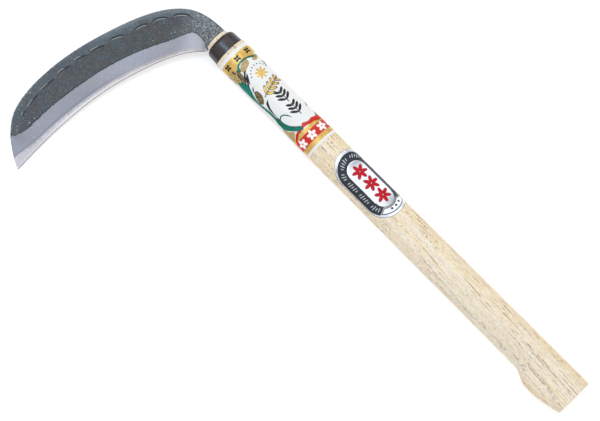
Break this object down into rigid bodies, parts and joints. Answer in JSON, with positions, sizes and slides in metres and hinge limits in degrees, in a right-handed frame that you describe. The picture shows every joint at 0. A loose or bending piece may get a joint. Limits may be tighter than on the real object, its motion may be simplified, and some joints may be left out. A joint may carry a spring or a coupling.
{
  "type": "hand sickle",
  "caption": "Fixed hand sickle with a forged, single-bevel crescent blade set at a right angle on a straight oval wooden handle with a finger stop.",
  "frame": {"origin": "centre of the flat end face of the handle's butt", "axes": "+X along the handle towards the blade, +Y towards the cutting side, where the blade points, +Z out of the blade's bevelled face; the blade lies in the XY plane"},
  "size_m": [0.4805, 0.2027, 0.026],
  "materials": {
    "forged_iron": "forge scale on the face, scratched grinding on the bevel",
    "hard_steel": "ground bright",
    "pale_hardwood": "sanded, unvarnished",
    "dark_ferrule": "dark satin lacquer",
    "pin_steel": "plain",
    "filler_wood": "sawn",
    "printed_paper": "glossy printed paper",
    "silver_foil": "printed foil"
  },
  "bodies": {
    "root": {"blade_iron": "forged_iron", "edge_steel": "hard_steel", "handle": "pale_hardwood", "ferrule": "dark_ferrule", "tang_pin": "pin_steel", "slot_filler": "filler_wood", "paper_wrap": "printed_paper", "foil_sticker": "silver_foil"}
  },
  "joints": []
}
